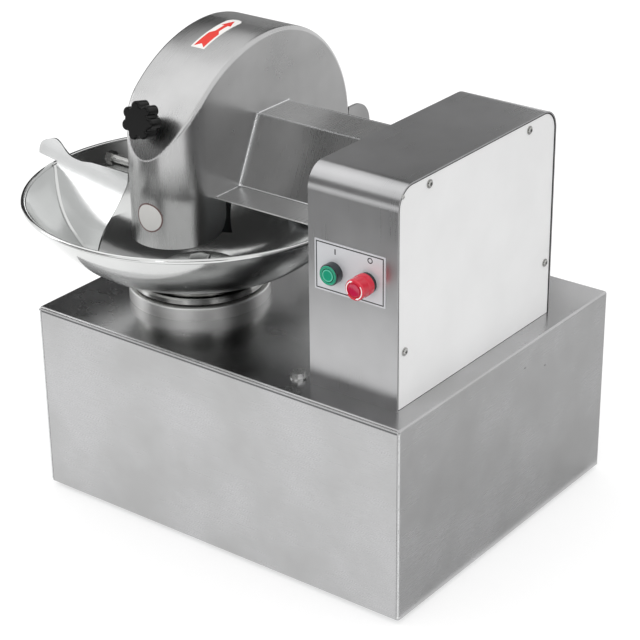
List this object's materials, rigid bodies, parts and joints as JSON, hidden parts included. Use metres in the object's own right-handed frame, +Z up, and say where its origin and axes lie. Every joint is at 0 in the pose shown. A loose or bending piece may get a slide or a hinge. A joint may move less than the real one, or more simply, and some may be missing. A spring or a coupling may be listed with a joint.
{
  "type": "meat bowl cutter",
  "caption": "Countertop meat bowl cutter: folded steel base, turning bowl, sickle knives under a hinged hood with a plough, belt drive tower with push buttons.",
  "frame": {"origin": "on the floor under the middle of the whole machine's bounding box", "axes": "+X towards the drive tower (longest extent), -Y towards the operator, +Z up"},
  "size_m": [0.782, 0.6309, 0.691],
  "materials": {
    "brushed_stainless": "fine vertical brushing",
    "galvanised_steel": "dull zinc",
    "polished_stainless": "spun and polished",
    "knife_steel": "ground blade steel",
    "bright_side_sheet": "satin, very light",
    "turned_steel": "turned",
    "zinc_fasteners": "bright zinc",
    "cast_aluminium": "cast and machined",
    "cast_iron": "as cast",
    "bearing_steel": "ground rings",
    "motor_grey_paint": "semi-gloss grey",
    "belt_rubber": "matt",
    "foot_rubber": "matt",
    "black_knob_plastic": "glossy moulded",
    "black_plastic": "satin moulded",
    "green_plastic": "glossy",
    "red_plastic": "glossy",
    "control_plate_aluminium": "satin"
  },
  "bodies": {
    "machine_base": {"base_shell": "brushed_stainless", "front_panel": "brushed_stainless", "rear_panel": "brushed_stainless", "tower_shell": "brushed_stainless", "hinge_post": "brushed_stainless", "lock_bracket": "brushed_stainless", "bottom_plate": "galvanised_steel", "gearbox_stand": "galvanised_steel", "motor_cradle": "galvanised_steel", "bearing_frame": "galvanised_steel", "bowl_ring": "polished_stainless", "tower_side_cover": "bright_side_sheet", "hinge_pin": "turned_steel", "hold_down_bolts": "zinc_fasteners", "hinge_post_bolts": "zinc_fasteners", "side_cover_screws": "zinc_fasteners", "tower_rear_screws": "zinc_fasteners", "rear_panel_screws": "zinc_fasteners", "bearing_arm": "cast_aluminium", "input_shaft_bearing": "cast_iron", "knife_bearing_front": "bearing_steel", "knife_bearing_rear": "bearing_steel", "motor": "motor_grey_paint", "gearbox": "motor_grey_paint", "knife_belt": "belt_rubber", "bowl_belt": "belt_rubber", "rubber_feet": "foot_rubber", "cable_gland": "black_plastic", "start_button_bezel": "black_plastic", "stop_button_bezel": "black_plastic", "start_contact_block": "black_plastic", "stop_contact_block": "black_plastic", "control_plate": "control_plate_aluminium"},
    "knife_set": {"knife_shaft": "turned_steel", "knife_1": "knife_steel", "knife_2": "knife_steel", "knife_3": "knife_steel", "knife_spacers": "turned_steel", "knife_nut": "turned_steel", "knife_pulley": "cast_aluminium"},
    "motor_rotor": {"motor_shaft": "turned_steel", "motor_pulley": "cast_aluminium"},
    "gearbox_input": {"gearbox_input_shaft": "turned_steel", "gearbox_pulley": "cast_aluminium"},
    "bowl_table": {"bowl_spindle": "turned_steel", "turntable": "polished_stainless", "bowl": "polished_stainless", "bowl_lock_nut": "polished_stainless"},
    "hood_body": {"hood": "brushed_stainless", "plough_pin": "zinc_fasteners", "plough_pin_nuts": "zinc_fasteners"},
    "lid_knob": {"star_knob": "black_knob_plastic", "knob_stud": "zinc_fasteners"},
    "plough": {"plough_plate": "brushed_stainless"},
    "start_key": {"start_button": "green_plastic"},
    "stop_stem": {"stop_button_stem": "black_plastic"},
    "stop_head": {"stop_button_head": "red_plastic"}
  },
  "joints": [
    {"name": "knife_spin", "type": "hinge", "parent": "machine_base", "child": "knife_set", "pos_m": [0, 0.045, 0.515], "axis": [1, 0, 0], "continuous": true},
    {"name": "motor_spin", "type": "hinge", "parent": "machine_base", "child": "motor_rotor", "pos_m": [0.25, 0.045, 0.11], "axis": [1, 0, 0], "continuous": true},
    {"name": "gearbox_spin", "type": "hinge", "parent": "machine_base", "child": "gearbox_input", "pos_m": [0.2, -0.105, 0.215], "axis": [1, 0, 0], "continuous": true},
    {"name": "bowl_spin", "type": "hinge", "parent": "machine_base", "child": "bowl_table", "pos_m": [-0.101, -0.06, 0.33], "axis": [0, 0, 1], "continuous": true},
    {"name": "hood_open", "type": "hinge", "parent": "machine_base", "child": "hood_body", "pos_m": [-0.101, 0.248, 0.484], "axis": [-1, 0, 0], "range_deg": [0, 85]},
    {"name": "knob_turn", "type": "hinge", "parent": "hood_body", "child": "lid_knob", "pos_m": [-0.101, -0.1708, 0.6047], "axis": [0, -0.9781, 0.2079], "continuous": true},
    {"name": "plough_lift", "type": "hinge", "parent": "hood_body", "child": "plough", "pos_m": [-0.18, -0.088, 0.493], "axis": [-1, 0, 0], "range_deg": [0, 60]},
    {"name": "start_press", "type": "slide", "parent": "machine_base", "child": "start_key", "axis": [0, 1, 0], "range_m": [0, 0.003], "stiffness_N_per_m": 300, "springref_m": -0.002},
    {"name": "stop_press", "type": "slide", "parent": "machine_base", "child": "stop_stem", "axis": [0, 1, 0], "range_m": [0, 0.005], "stiffness_N_per_m": 400, "springref_m": -0.003},
    {"name": "stop_twist", "type": "hinge", "parent": "stop_stem", "child": "stop_head", "pos_m": [0.311, -0.22, 0.4785], "axis": [0, -1, 0], "range_deg": [0, 40], "stiffness_Nm_per_rad": 0.05, "springref_deg": -5.73}
  ],
  "couplings": [
    {"joint": "motor_spin", "follows": "knife_spin", "ratio": 0.8},
    {"joint": "gearbox_spin", "follows": "knife_spin", "ratio": 0.36},
    {"joint": "bowl_spin", "follows": "knife_spin", "ratio": 0.012}
  ]
}
